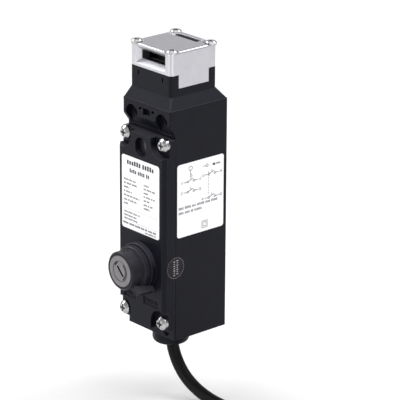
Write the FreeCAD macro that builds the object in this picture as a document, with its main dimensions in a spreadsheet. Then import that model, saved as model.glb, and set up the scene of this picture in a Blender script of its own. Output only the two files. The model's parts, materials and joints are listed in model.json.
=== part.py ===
import FreeCAD, Part
import math
import os
import Sketcher
from FreeCAD import Vector

# Tongue interlock switch with guard locking, a key-operated release knob and a moulded cable.
# Millimetres. +Z is up, +X is to the right seen from the front, the back face is at Y = 0 and the
# body stands out towards -Y. Heights in this file are counted from the foot of the case; every
# body's placement then lowers it so that the origin is midway between the four mounting holes.

document = FreeCAD.newDocument("TongueInterlockSwitch")
sheet = document.addObject("Spreadsheet::Sheet", "Sizes")

driving_sizes = {
    # case and cover
    "case_width": 35, "case_depth": 33.5, "band_depth": 36.7, "cover_depth": 40.4,
    "cover_ledge": 36.5, "cover_foot": 5.5, "cover_top": 103.6, "case_top": 118,
    "band_foot": 110.5, "recess_top": 106, "edge_bevel": 1.9, "wall": 2.2,
    # mounting holes
    "hole_spacing": 22, "low_hole": 3, "high_hole": 111, "hole_radius": 2.2,
    "arch_radius": 4.5, "arch_floor": 32.8,
    # neck and head
    "neck_width": 30, "neck_front": 34.2, "neck_back": 5, "neck_foot": 123.8,
    "head_foot": 134.5, "head_top": 146, "corner_round": 2, "skirt_foot": 127.8,
    "skirt_front": 29.2, "skirt_back": 10.3, "skirt_thick": 1.4,
    "slot_half": 9.4, "slot_low": 137.9, "slot_high": 142.2, "funnel_depth": 3,
    "top_slot_half": 7.8, "top_slot_front": 11.8, "top_slot_width": 2.6,
    "head_screw_side": 12.8, "head_screw_front": 31.8, "head_screw_back": 7.1,
    "head_screw_seat": 145.2, "scallop_radius": 3.8,
    # drum cam and operating rod
    "cam_depth": 18.5, "cam_height": 136, "cam_radius": 7.5, "cam_lift": 3, "cam_swing": 60,
    "axle_radius": 2, "rod_radius": 2.1, "rod_foot": 60.5, "rod_gap": 0.4, "fit_gap": 0.05,
    "spring_seat": 104.5, "collar_height": 117.5, "well_radius": 4.7,
    # release knob
    "knob_height": 36.6, "knob_base_radius": 11.85, "knob_base_depth": 43.4,
    "knob_flange_radius": 11, "knob_flange_depth": 47, "knob_radius": 9.7, "knob_depth": 53.4,
    "knob_shaft": 4, "disc_radius": 7.8, "plug_radius": 5.3, "cam_pin_throw": 2.47,
    # cover screws and indicator
    "cover_screw_side": 14, "cover_screw_high": 101, "cover_screw_low": 9.8,
    "cover_screw_radius": 3.4, "cover_screw_head": 3.1, "screw_pocket": 6.7, "low_ledge": 37.3,
    "window_height": 97, "window_radius": 4.1, "window_rise": 1.0, "window_depth": 3,
    # solenoid and locking lever
    "solenoid_depth": 15.5, "solenoid_half": 10.5, "solenoid_foot": 12, "solenoid_top": 43,
    "plunger_radius": 3.4, "lever_depth": 24.5, "lever_height": 56.5, "slider_travel": 3.5,
    # gland and cable
    "gland_depth": 20.8, "gland_radius": 9.2, "gland_drop": 8, "cable_radius": 3.1,
    "coil_radius": 32, "coil_half": 6.3, "coil_across": 93, "coil_forward": 42,
    "coil_level": -26.8, "tie_thick": 1,
}
for row, (name, value) in enumerate(driving_sizes.items(), start=1):
    sheet.set("A%d" % row, name)
    sheet.set("B%d" % row, str(value))
    sheet.setAlias("B%d" % row, name)
document.recompute()


class Length:
    """A number that also knows the spreadsheet formula it comes from."""

    def __init__(self, value, formula):
        self.value = value
        self.formula = formula

    def joined(self, sign, other, result):
        return Length(result, "(%s %s %s)" % (self.formula, sign, other.formula))

    def __add__(self, other):
        other = length(other)
        return self.joined("+", other, self.value + other.value)

    def __sub__(self, other):
        other = length(other)
        return self.joined("-", other, self.value - other.value)

    def __mul__(self, other):
        other = length(other)
        return self.joined("*", other, self.value * other.value)

    def __truediv__(self, other):
        other = length(other)
        return self.joined("/", other, self.value / other.value)

    def __radd__(self, other):
        return length(other) + self

    def __rsub__(self, other):
        return length(other) - self

    def __rmul__(self, other):
        return length(other) * self

    def __neg__(self):
        return length(0) - self


def length(number):
    if isinstance(number, Length):
        return number
    return Length(float(number), "%.6f" % number)


class Cells:
    """The sheet's named cells, each read as a Length."""

    def __getattr__(self, name):
        return Length(float(sheet.get(name)), "Sizes." + name)


cell = Cells()
centre_height = (cell.low_hole + cell.high_hole) / 2


def bind(item, name, number):
    item.setExpression(name, length(number).formula)


# ---------------------------------------------------------------- modelling helpers

def new_body(label):
    body = document.addObject("PartDesign::Body", label)
    body.Label = label
    bind(body, "Placement.Base.z", -centre_height)
    return body


def drawing_on(body, plane, out=0, right=0, up=0):
    """A sketch on one of the body's own origin planes, moved out along the plane's normal."""
    drawing = body.newObject("Sketcher::SketchObject", "Sketch")
    origin_plane = [item for item in body.Origin.OriginFeatures if item.Role == plane][0]
    drawing.AttachmentSupport = [(origin_plane, "")]
    drawing.MapMode = "FlatFace"
    bind(drawing, "AttachmentOffset.Base.x", right)
    bind(drawing, "AttachmentOffset.Base.y", up)
    bind(drawing, "AttachmentOffset.Base.z", out)
    return drawing


def hold_point(drawing, geometry, point, across, up):
    """Ties one point of a sketch to the sheet."""
    for kind, axis, number in (("DistanceX", -2, across), ("DistanceY", -1, up)):
        number = length(number)
        if abs(number.value) < 1e-9:
            drawing.addConstraint(Sketcher.Constraint("PointOnObject", geometry, point, axis))
            continue
        rule = Sketcher.Constraint(kind, -1, 1, geometry, point, number.value)
        index = drawing.addConstraint(rule)
        bind(drawing, "Constraints[%d]" % index, number)


def hold_radius(drawing, geometry, radius):
    radius = length(radius)
    index = drawing.addConstraint(Sketcher.Constraint("Radius", geometry, radius.value))
    bind(drawing, "Constraints[%d]" % index, radius)


def outline(drawing, corners):
    """A closed polygon through its corners."""
    corners = [(length(across), length(up)) for across, up in corners]
    points = [Vector(across.value, up.value, 0) for across, up in corners]
    first = drawing.GeometryCount
    count = len(points)
    for i in range(count):
        drawing.addGeometry(Part.LineSegment(points[i], points[(i + 1) % count]), False)
    for i in range(count):
        rule = Sketcher.Constraint("Coincident", first + i, 2, first + (i + 1) % count, 1)
        drawing.addConstraint(rule)
    for i, (across, up) in enumerate(corners):
        hold_point(drawing, first + i, 1, across, up)


def rectangle(drawing, left, low, right, high):
    outline(drawing, [(left, low), (right, low), (right, high), (left, high)])


def cut_rectangle(drawing, left, low, right, high, cut):
    """A rectangle with its four corners cut off at 45 degrees."""
    outline(drawing, [(left + cut, low), (right - cut, low), (right, low + cut),
                      (right, high - cut), (right - cut, high), (left + cut, high),
                      (left, high - cut), (left, low + cut)])


def circle(drawing, across, up, radius):
    across, up, radius = length(across), length(up), length(radius)
    centre = Vector(across.value, up.value, 0)
    index = drawing.addGeometry(Part.Circle(centre, Vector(0, 0, 1), radius.value), False)
    hold_point(drawing, index, 3, across, up)
    hold_radius(drawing, index, radius)


def arc_between(centre, radius, start, end):
    whole = Part.Circle(centre, Vector(0, 0, 1), radius)
    return Part.ArcOfCircle(whole, math.radians(start), math.radians(end))


def obround(drawing, across, low, high, radius):
    """An upright slot with round ends whose centres are at the heights low and high."""
    across, low, high, radius = length(across), length(low), length(high), length(radius)
    side = Vector(radius.value, 0, 0)
    foot = Vector(across.value, low.value, 0)
    head = Vector(across.value, high.value, 0)
    first = drawing.GeometryCount
    drawing.addGeometry(arc_between(head, radius.value, 0, 180), False)
    drawing.addGeometry(Part.LineSegment(head - side, foot - side), False)
    drawing.addGeometry(arc_between(foot, radius.value, 180, 360), False)
    drawing.addGeometry(Part.LineSegment(foot + side, head + side), False)
    for i in range(4):
        drawing.addConstraint(Sketcher.Constraint("Tangent", first + i, 2, first + (i + 1) % 4, 1))
    hold_point(drawing, first, 3, across, high)
    hold_point(drawing, first + 2, 3, across, low)
    hold_radius(drawing, first, radius)


def round_rectangle(drawing, left, low, right, high, radius):
    """A rectangle with equal round corners."""
    left, low, right, high = length(left), length(low), length(right), length(high)
    radius = length(radius)
    inner = [left + radius, low + radius, right - radius, high - radius]
    x0, y0, x1, y1 = [number.value for number in inner]
    r = radius.value
    first = drawing.GeometryCount
    drawing.addGeometry(Part.LineSegment(Vector(x0, y0 - r, 0), Vector(x1, y0 - r, 0)), False)
    drawing.addGeometry(arc_between(Vector(x1, y0, 0), r, -90, 0), False)
    drawing.addGeometry(Part.LineSegment(Vector(x1 + r, y0, 0), Vector(x1 + r, y1, 0)), False)
    drawing.addGeometry(arc_between(Vector(x1, y1, 0), r, 0, 90), False)
    drawing.addGeometry(Part.LineSegment(Vector(x1, y1 + r, 0), Vector(x0, y1 + r, 0)), False)
    drawing.addGeometry(arc_between(Vector(x0, y1, 0), r, 90, 180), False)
    drawing.addGeometry(Part.LineSegment(Vector(x0 - r, y1, 0), Vector(x0 - r, y0, 0)), False)
    drawing.addGeometry(arc_between(Vector(x0, y0, 0), r, 180, 270), False)
    for i in range(8):
        drawing.addConstraint(Sketcher.Constraint("Tangent", first + i, 2, first + (i + 1) % 8, 1))
    hold_point(drawing, first + 1, 3, inner[2], inner[1])
    hold_point(drawing, first + 5, 3, inner[0], inner[3])
    hold_radius(drawing, first + 1, radius)
    hold_radius(drawing, first + 5, radius)
    drawing.addConstraint(Sketcher.Constraint("Vertical", first + 2))
    drawing.addConstraint(Sketcher.Constraint("Horizontal", first + 4))


def pad(body, drawing, depth, both_sides=False, backwards=False):
    feature = body.newObject("PartDesign::Pad", "Pad")
    feature.Profile = drawing
    bind(feature, "Length", depth)
    feature.Midplane = both_sides
    feature.Reversed = backwards
    return feature


def pocket(body, drawing, depth, both_sides=False, backwards=False):
    before = solid_volume(body)
    feature = body.newObject("PartDesign::Pocket", "Pocket")
    feature.Profile = drawing
    bind(feature, "Length", depth)
    feature.Midplane = both_sides
    feature.Reversed = backwards
    if solid_volume(body) >= before - 1e-6:
        raise RuntimeError("a pocket in %s cuts nothing" % body.Label)
    return feature


def turned(body, drawing, axis="V_Axis"):
    feature = body.newObject("PartDesign::Revolution", "Revolution")
    feature.Profile = drawing
    feature.ReferenceAxis = (drawing, [axis])
    feature.Angle = 360
    return feature


def solid_volume(body):
    document.recompute()
    return body.Tip.Shape.Volume


def chosen_edges(body, wanted):
    document.recompute()
    return ["Edge%d" % (i + 1) for i, edge in enumerate(body.Tip.Shape.Edges) if wanted(edge)]


def round_edges(body, radius, wanted):
    names = chosen_edges(body, wanted)
    base = body.Tip
    feature = body.newObject("PartDesign::Fillet", "Fillet")
    feature.Base = (base, names)
    bind(feature, "Radius", radius)
    document.recompute()


def bevel_edges(body, size, wanted):
    names = chosen_edges(body, wanted)
    base = body.Tip
    feature = body.newObject("PartDesign::Chamfer", "Chamfer")
    feature.Base = (base, names)
    bind(feature, "Size", size)
    document.recompute()


def straight(edge, axis):
    """Whether an edge is a straight line along X, Y or Z."""
    if edge.Curve.TypeId != "Part::GeomLine":
        return False
    return abs(getattr(edge.Curve.Direction, axis)) > 0.999


def passes(edge, **place):
    """Whether the middle of an edge is at the given coordinates, sign of x left out."""
    middle = edge.BoundBox.Center
    for axis, number in place.items():
        here = getattr(middle, axis)
        if axis == "x":
            here = abs(here)
        if abs(here - length(number).value) > 0.02:
            return False
    return True


both_hands = (-1, 1)
half_case = cell.case_width / 2
half_neck = cell.neck_width / 2
half_spacing = cell.hole_spacing / 2


# ---------------------------------------------------------------- case and cover

def make_main_case():
    """Moulded case: long box, mounting band with two arches, shoulder and neck."""
    case = new_body("main_case")
    profile = drawing_on(case, "YZ_Plane")
    outline(profile, [(0, 0), (0, cell.case_top), (-cell.band_depth, cell.case_top),
                      (-cell.band_depth, cell.band_foot), (-cell.case_depth, cell.recess_top),
                      (-cell.case_depth, 0)])
    pad(case, profile, cell.case_width, both_sides=True)
    round_edges(case, 0.8, lambda edge: straight(edge, "z"))

    # The shoulder keeps a flat facet on each corner, which widens towards the round neck.
    foot = drawing_on(case, "XY_Plane", out=cell.case_top)
    cut_rectangle(foot, 0.3 - half_case, 0.3 - cell.band_depth, half_case - 0.3, -0.3, 0.3)
    head = drawing_on(case, "XY_Plane", out=cell.neck_foot)
    cut_rectangle(head, -half_neck, -cell.neck_front, half_neck, -cell.neck_back, 1.3)
    shoulder = case.newObject("PartDesign::AdditiveLoft", "Shoulder")
    shoulder.Profile = foot
    shoulder.Sections = [head]
    shoulder.Ruled = True

    neck = drawing_on(case, "XY_Plane", out=cell.neck_foot)
    round_rectangle(neck, -half_neck, -cell.neck_front, half_neck, -cell.neck_back,
                    cell.corner_round)
    pad(case, neck, cell.head_foot - cell.neck_foot)

    # The arches clear the bolt heads and run out through the sloping foot of the band.
    for hand in both_hands:
        arch = drawing_on(case, "XZ_Plane", out=cell.band_depth + 1)
        foot_level = cell.recess_top - 1
        centre = hand * half_spacing
        outline(arch, [(centre - cell.arch_radius, foot_level),
                       (centre + cell.arch_radius, foot_level),
                       (centre + cell.arch_radius, cell.high_hole),
                       (centre - cell.arch_radius, cell.high_hole)])
        pocket(case, arch, cell.band_depth + 1 - cell.arch_floor)
        crown = drawing_on(case, "XZ_Plane", out=cell.band_depth + 1)
        circle(crown, centre, cell.high_hole, cell.arch_radius)
        pocket(case, crown, cell.band_depth + 1 - cell.arch_floor)

    holes = drawing_on(case, "XZ_Plane", out=cell.band_depth)
    for hand in both_hands:
        circle(holes, hand * half_spacing, cell.low_hole, cell.hole_radius)
        circle(holes, hand * half_spacing, cell.high_hole, cell.hole_radius)
    pocket(case, holes, cell.band_depth + 1)

    # Core-outs between the arches keep the wall even.
    cores = drawing_on(case, "XZ_Plane", out=cell.band_depth)
    core_foot, core_head = cell.high_hole + 1, cell.high_hole + 4.6
    rectangle(cores, -2.7, core_foot, 2.7, core_head)
    for hand in both_hands:
        rectangle(cores, hand * 4.6 - 1.1, core_head - 1.5, hand * 4.6 + 1.1, core_head)
    pocket(case, cores, 2.4)
    groove = drawing_on(case, "XZ_Plane", out=cell.band_depth)
    rectangle(groove, -1.2, cell.band_foot - 1, 6, cell.band_foot - 0.1)
    pocket(case, groove, 2)

    # Inside: the room behind the cover, the spring well and the neck that takes the cam carrier.
    room = drawing_on(case, "XZ_Plane", out=cell.case_depth)
    round_rectangle(room, -half_case + 3, 9, half_case - 3, 102.6, 1.5)
    pocket(case, room, cell.case_depth - 3)
    well = drawing_on(case, "XY_Plane", out=cell.neck_foot)
    circle(well, 0, -cell.cam_depth, cell.well_radius)
    pocket(case, well, cell.neck_foot - cell.spring_seat)
    guide = drawing_on(case, "XY_Plane", out=cell.spring_seat)
    circle(guide, 0, -cell.cam_depth, cell.rod_radius + cell.fit_gap)
    pocket(case, guide, 3)
    mouth = drawing_on(case, "XY_Plane", out=cell.head_foot)
    rectangle(mouth, -9.6, -31.2, 9.6, -8)
    pocket(case, mouth, cell.head_foot - cell.neck_foot + 0.8)
    cheeks = drawing_on(case, "XY_Plane", out=cell.head_foot)
    rectangle(cheeks, -13, -26, 13, -11.5)
    pocket(case, cheeks, cell.head_foot - cell.neck_foot + 0.8)

    # Seats for the side skirts of the metal head, and two sighting notches in the front.
    for hand in both_hands:
        seat = drawing_on(case, "YZ_Plane", out=hand * (half_neck + 1))
        rectangle(seat, -cell.skirt_front - 0.1, cell.skirt_foot - 0.1,
                  -cell.skirt_back + 0.1, cell.head_foot + 1)
        pocket(case, seat, 1 + cell.skirt_thick + 0.1, backwards=(hand < 0))
    notches = drawing_on(case, "XZ_Plane", out=cell.neck_front)
    for hand in both_hands:
        rectangle(notches, hand * 8.8 - 0.55, 130.2, hand * 8.8 + 0.55, 132.7)
    pocket(case, notches, 1.2)
    threads = drawing_on(case, "XY_Plane", out=cell.head_foot)
    for hand in both_hands:
        circle(threads, hand * cell.head_screw_side, -cell.head_screw_front, 1.5)
        circle(threads, hand * cell.head_screw_side, -cell.head_screw_back, 1.5)
    pocket(case, threads, 8)

    # The gland screws into the foot, the cover screws into four corner pillars.
    socket = drawing_on(case, "XY_Plane", out=9.5)
    circle(socket, 0, -cell.gland_depth, 6.6)
    pocket(case, socket, 10)
    for height in (cell.cover_screw_high, cell.cover_screw_low):
        pillars = drawing_on(case, "XZ_Plane", out=cell.case_depth)
        for hand in both_hands:
            circle(pillars, hand * cell.cover_screw_side, height, 3)
        pad(case, pillars, cell.case_depth - 4, backwards=True)
    threads = drawing_on(case, "XZ_Plane", out=cell.case_depth)
    for hand in both_hands:
        for height in (cell.cover_screw_high, cell.cover_screw_low):
            circle(threads, hand * cell.cover_screw_side, height, 1.5)
    pocket(case, threads, 10)
    return case


def make_front_cover():
    """Front cover: ledge plate, raised panel with bevelled edges and round screw pockets."""
    cover = new_body("front_cover")
    front, ledge, joint = cell.cover_depth, cell.cover_ledge, cell.case_depth
    plate = drawing_on(cover, "XZ_Plane", out=joint)
    rectangle(plate, -half_case, cell.cover_foot, half_case, cell.cover_top)
    pad(cover, plate, front - joint)
    bevel_edges(cover, cell.edge_bevel, lambda edge: straight(edge, "z") and passes(edge, y=-front))

    for hand in both_hands:
        for height, out in ((cell.cover_screw_high, 1), (cell.cover_screw_low, -1)):
            centre = hand * cell.cover_screw_side
            far = hand * (half_case + 2)
            inner = centre - hand * cell.screw_pocket
            floor = ledge if out > 0 else cell.low_ledge
            notch = drawing_on(cover, "XZ_Plane", out=front + 1)
            outline(notch, [(inner, height), (far, height), (far, height + out * 12),
                            (inner, height + out * 12)])
            pocket(cover, notch, front + 1 - floor)
            bowl = drawing_on(cover, "XZ_Plane", out=front + 1)
            circle(bowl, centre, height, cell.screw_pocket)
            pocket(cover, bowl, front + 1 - floor)
    screw_holes = drawing_on(cover, "XZ_Plane", out=front)
    for hand in both_hands:
        for height in (cell.cover_screw_high, cell.cover_screw_low):
            circle(screw_holes, hand * cell.cover_screw_side, height, 1.7)
    pocket(cover, screw_holes, front)

    # Hollow back between the screw bosses.
    room = drawing_on(cover, "XZ_Plane", out=joint)
    round_rectangle(room, -half_case + 3, 19, half_case - 3, 89, 1.5)
    pocket(cover, room, front - joint - cell.wall, backwards=True)

    # Indicator well, with a stepped hole for the lens.
    well = drawing_on(cover, "XZ_Plane", out=front)
    obround(well, 0, cell.window_height - cell.window_rise, cell.window_height + cell.window_rise,
            cell.window_radius)
    pocket(cover, well, cell.window_depth)
    light_hole = drawing_on(cover, "XZ_Plane", out=front - cell.window_depth)
    obround(light_hole, 0, cell.window_height - cell.window_rise,
            cell.window_height + cell.window_rise, cell.window_radius - 1)
    pocket(cover, light_hole, front)

    # Round base of the release knob, bored for its shaft.
    base = drawing_on(cover, "XZ_Plane", out=front)
    circle(base, 0, cell.knob_height, cell.knob_base_radius)
    pad(cover, base, cell.knob_base_depth - front)
    bore = drawing_on(cover, "XZ_Plane", out=cell.knob_base_depth)
    circle(bore, 0, cell.knob_height, cell.knob_shaft + cell.fit_gap)
    pocket(cover, bore, 20)
    bevel_edges(cover, 0.4, lambda edge: edge.Curve.TypeId == "Part::GeomCircle"
                and passes(edge, x=0, y=-cell.knob_base_depth, z=cell.knob_height)
                and edge.Curve.Radius > 9)

    # Two shallow marking panels beside the pointer's two positions.
    panels = drawing_on(cover, "XZ_Plane", out=front)
    for left, right in ((-12.6, -3.2), (1.9, 13.2)):
        rectangle(panels, left, 17, right, 21.6)
    pocket(cover, panels, 0.5)
    return cover


def make_cover_seal():
    """Rubber frame in the joint's inner edge, between the room and the screw pillars."""
    seal = new_body("cover_seal")
    ring = drawing_on(seal, "XZ_Plane", out=cell.case_depth - 1.2)
    round_rectangle(ring, -14.5, 12.4, 14.5, 94.2, 3)
    round_rectangle(ring, -13.2, 13.6, 13.2, 93, 2)
    pad(seal, ring, 1.2)
    return seal


def pan_screw(body, across, height, seat, head_radius, head_thick, shank_radius, shank, plane):
    """A domed cross-recess screw standing on its seat; plane XZ faces front, XY faces up."""
    head = drawing_on(body, plane, out=seat)
    circle(head, across, height, head_radius)
    pad(body, head, head_thick)
    stem = drawing_on(body, plane, out=seat)
    circle(stem, across, height, shank_radius)
    pad(body, stem, shank, backwards=True)
    cross = drawing_on(body, plane, out=seat + head_thick)
    half, narrow = head_radius * 0.55, head_radius * 0.16
    left, right, low, high = across - half, across + half, height - half, height + half
    outline(cross, [(across - narrow, low), (across + narrow, low),
                    (across + narrow, height - narrow), (right, height - narrow),
                    (right, height + narrow), (across + narrow, height + narrow),
                    (across + narrow, high), (across - narrow, high),
                    (across - narrow, height + narrow), (left, height + narrow),
                    (left, height - narrow), (across - narrow, height - narrow)])
    pocket(body, cross, head_thick * 0.55)
    outer = length(head_radius).value
    crown = length(head_thick).value * 0.4
    bevel_edges(body, crown, lambda edge: edge.Curve.TypeId == "Part::GeomCircle"
                and abs(edge.Curve.Radius - outer) < 0.01
                and abs(rim_height(edge, plane) - (length(seat) + head_thick).value) < 0.01)


def rim_height(edge, plane):
    centre = edge.Curve.Center
    return -centre.y if plane == "XZ_Plane" else centre.z


def gather(label, bodies):
    """Joins equal loose pieces into one labelled group of separate solids."""
    group = document.addObject("Part::Compound", label)
    group.Label = label
    group.Links = bodies
    return group


def make_cover_screws():
    screws = []
    for number, (hand, height) in enumerate(((hand, height) for hand in both_hands for height in
                                             (cell.cover_screw_low, cell.cover_screw_high))):
        screw = new_body("cover_screw_%d" % (number + 1))
        seat = cell.cover_ledge if height.value > cell.knob_height.value else cell.low_ledge
        pan_screw(screw, hand * cell.cover_screw_side, height, seat, cell.cover_screw_radius,
                  cell.cover_screw_head, 1.45, 10, "XZ_Plane")
        screws.append(screw)
    return gather("cover_screws", screws)


def make_indicator_lens():
    """Stepped light pipe whose face is the floor of the indicator well."""
    lens = new_body("indicator_lens")
    low, high = cell.window_height - cell.window_rise, cell.window_height + cell.window_rise
    face = drawing_on(lens, "XZ_Plane", out=cell.case_depth + 0.2)
    obround(face, 0, low, high, cell.window_radius - 1.03)
    pad(lens, face, cell.cover_depth - cell.window_depth - cell.case_depth - 0.2)
    return lens


# ---------------------------------------------------------------- metal head

def make_head_housing():
    """Die-cast head: rounded shell, funnel entry in front, slot on top, side skirts."""
    head = new_body("head_housing")
    block = drawing_on(head, "XY_Plane", out=cell.head_foot)
    round_rectangle(block, -half_neck, -cell.neck_front, half_neck, -cell.neck_back,
                    cell.corner_round)
    pad(head, block, cell.head_top - cell.head_foot)
    round_edges(head, 1.3, lambda edge: abs(edge.BoundBox.Center.z - cell.head_top.value) < 0.01
                and edge.BoundBox.ZLength < 0.01)

    # Raised land behind the top slot.
    land = drawing_on(head, "XY_Plane", out=cell.head_top - 0.5)
    rectangle(land, -13.4, -11.6, cell.top_slot_half, -6.6)
    pad(head, land, 0.9)

    skirt_profile = (-cell.skirt_front, cell.skirt_foot, -cell.skirt_back, cell.head_foot + 0.5)
    for hand in both_hands:
        skirt = drawing_on(head, "YZ_Plane", out=hand * half_neck)
        rectangle(skirt, *skirt_profile)
        pad(head, skirt, cell.skirt_thick, backwards=(hand > 0))

    # Hollow: wide room for the carrier's cheeks, narrower room between the screw pillars.
    ceiling = 144.3 - cell.head_foot
    cheeks = drawing_on(head, "XY_Plane", out=cell.head_foot)
    rectangle(cheeks, -13.1, -26.2, 13.1, -11.3)
    pocket(head, cheeks, ceiling, backwards=True)
    room = drawing_on(head, "XY_Plane", out=cell.head_foot)
    rectangle(room, -9.9, -30.4, 9.9, -7.5)
    pocket(head, room, ceiling, backwards=True)

    # Entry funnel that narrows to the tongue slot, then the slot itself.
    mouth = drawing_on(head, "XZ_Plane", out=cell.neck_front)
    rectangle(mouth, -cell.slot_half - 1.5, cell.slot_low - 2, cell.slot_half + 1.5,
              cell.slot_high + 2.4)
    throat = drawing_on(head, "XZ_Plane", out=cell.neck_front - cell.funnel_depth)
    rectangle(throat, -cell.slot_half, cell.slot_low, cell.slot_half, cell.slot_high)
    funnel = head.newObject("PartDesign::SubtractiveLoft", "Funnel")
    funnel.Profile = mouth
    funnel.Sections = [throat]
    funnel.Ruled = True
    slot = drawing_on(head, "XZ_Plane", out=cell.neck_front)
    rectangle(slot, -cell.slot_half, cell.slot_low, cell.slot_half, cell.slot_high)
    pocket(head, slot, 4)
    top_slot = drawing_on(head, "XY_Plane", out=cell.head_top + 1)
    rectangle(top_slot, -cell.top_slot_half, -cell.top_slot_front, cell.top_slot_half,
              -cell.top_slot_front + cell.top_slot_width)
    pocket(head, top_slot, 4)

    # Scalloped seats and holes for the four corner screws.
    places = [(hand * cell.head_screw_side, -depth) for hand in both_hands
              for depth in (cell.head_screw_front, cell.head_screw_back)]
    scallops = drawing_on(head, "XY_Plane", out=cell.head_top + 1)
    for across, along in places:
        circle(scallops, across, along, cell.scallop_radius)
    pocket(head, scallops, cell.head_top + 1 - cell.head_screw_seat)
    holes = drawing_on(head, "XY_Plane", out=cell.head_top)
    for across, along in places:
        circle(holes, across, along, 1.6)
    pocket(head, holes, cell.head_top - cell.head_foot + 1)
    return head


def make_head_screws():
    screws = []
    places = [(hand, depth) for hand in both_hands
              for depth in (cell.head_screw_front, cell.head_screw_back)]
    for number, (hand, depth) in enumerate(places):
        screw = new_body("head_screw_%d" % (number + 1))
        pan_screw(screw, hand * cell.head_screw_side, -depth, cell.head_screw_seat, 2.9, 1.7,
                  1.45, 17.5, "XY_Plane")
        screws.append(screw)
    return gather("head_screws", screws)


def make_cam_carrier():
    """Plastic carrier in the neck: a floor with a rod hole and two cheeks for the axle."""
    carrier = new_body("cam_carrier")
    floor = drawing_on(carrier, "XY_Plane", out=cell.neck_foot - 0.8)
    rectangle(floor, -9.5, -31, 9.5, -8.2)
    pad(carrier, floor, 2.6)
    for hand in both_hands:
        cheek = drawing_on(carrier, "YZ_Plane", out=hand * 9.5)
        outline(cheek, [(-25.8, cell.neck_foot - 0.8), (-11.7, cell.neck_foot - 0.8),
                        (-11.7, 137.5), (-14, 140.6), (-23, 140.6), (-25.8, 137.5)])
        pad(carrier, cheek, 3.3, backwards=(hand < 0))
    bore = drawing_on(carrier, "YZ_Plane")
    circle(bore, -cell.cam_depth, cell.cam_height, cell.axle_radius)
    pocket(carrier, bore, 40, both_sides=True)
    rod_hole = drawing_on(carrier, "XY_Plane", out=cell.neck_foot + 5)
    circle(rod_hole, 0, -cell.cam_depth, cell.rod_radius + 0.3)
    pocket(carrier, rod_hole, 10)
    return carrier


def make_cam_axle():
    axle = new_body("cam_axle")
    rod = drawing_on(axle, "YZ_Plane")
    circle(rod, -cell.cam_depth, cell.cam_height, cell.axle_radius)
    pad(axle, rod, 25.6, both_sides=True)
    bevel_edges(axle, 0.4, lambda edge: edge.Curve.TypeId == "Part::GeomCircle")
    return axle


def cam_outline():
    """Drum outline: full radius, then a spiral that lets the rod rise as the drum turns."""
    lift_turn = cell.cam_swing.value + 18
    fall = cell.cam_lift.value / math.radians(cell.cam_swing.value)
    points = []
    for step in range(0, 361, 6):
        angle = step
        drop = 0.0
        if angle <= lift_turn:
            drop = fall * math.radians(angle)
        elif angle <= lift_turn + 18:
            drop = fall * math.radians(lift_turn) * (lift_turn + 18 - angle) / 18
        points.append((angle, cell.cam_radius.value - drop))
    return points[:-1]


def make_actuating_cam():
    """Drum cam turned by the tongue: spiral underside for the rod, pocket for the tongue."""
    cam = new_body("actuating_cam")
    drum = drawing_on(cam, "YZ_Plane", right=-cell.cam_depth, up=cell.cam_height)
    corners = []
    for angle, radius in cam_outline():
        # Counted from straight down, towards the back of the switch.
        turn = math.radians(angle)
        corners.append((radius * math.sin(turn), -radius * math.cos(turn)))
    outline(drum, corners)
    pad(cam, drum, 2 * cell.slot_half, both_sides=True)
    pocket_shape = drawing_on(cam, "YZ_Plane", right=-cell.cam_depth, up=cell.cam_height)
    outline(pocket_shape, [(-9, 1.4), (-3.4, 1.4), (-3.4, 6.6), (-9, 6.6)])
    pocket(cam, pocket_shape, 40, both_sides=True)
    bore = drawing_on(cam, "YZ_Plane")
    circle(bore, -cell.cam_depth, cell.cam_height, cell.axle_radius + cell.fit_gap)
    pocket(cam, bore, 40, both_sides=True)
    return cam


def make_operating_rod():
    """Round rod with a rounded tip under the cam and a collar on the spring."""
    rod = new_body("operating_rod")
    tip = cell.cam_height - cell.cam_radius - cell.rod_gap
    stem = drawing_on(rod, "XY_Plane", out=cell.rod_foot)
    circle(stem, 0, -cell.cam_depth, cell.rod_radius)
    pad(rod, stem, tip - cell.rod_foot)
    bevel_edges(rod, 1.1, lambda edge: abs(edge.BoundBox.ZMin - tip.value) < 0.01)
    collar = drawing_on(rod, "XY_Plane", out=cell.collar_height)
    circle(collar, 0, -cell.cam_depth, cell.well_radius - 0.4)
    pad(rod, collar, 2)
    return rod


def coil_spring(label, depth, foot, top, mean_radius, wire_radius, turns):
    """Helical spring of square wire, upright between two heights."""
    spring = new_body(label)
    section = drawing_on(spring, "XZ_Plane", out=depth)
    foot, top = length(foot), length(top)
    corners = []
    for step in range(4):
        angle = math.radians(90 * step)
        corners.append((mean_radius + wire_radius * math.cos(angle),
                        foot + wire_radius * (1 + math.sin(angle))))
    outline(section, corners)
    helix = spring.newObject("PartDesign::AdditiveHelix", "Helix")
    helix.Profile = section
    helix.ReferenceAxis = (section, ["V_Axis"])
    helix.Mode = 2
    helix.Turns = turns
    bind(helix, "Height", top - foot - 2 * wire_radius)
    return spring


# ---------------------------------------------------------------- contacts and lamp

contact_levels = (72, 81, 90)


def make_contact_block():
    """Contact housing on the back wall: a shaft for the carrier and a window per contact."""
    block = new_body("contact_block")
    base = drawing_on(block, "XZ_Plane", out=3)
    rectangle(base, -13.6, 64, 13.6, 96)
    pad(block, base, 27)
    shaft = drawing_on(block, "XY_Plane", out=97)
    rectangle(shaft, -5, -23.6, 5, -13.4)
    pocket(block, shaft, 40)
    windows = drawing_on(block, "XZ_Plane", out=31)
    for level in contact_levels:
        rectangle(windows, -10.6, level - 1.2, 10.6, level + 4.4)
    pocket(block, windows, 11)
    return block


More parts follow.
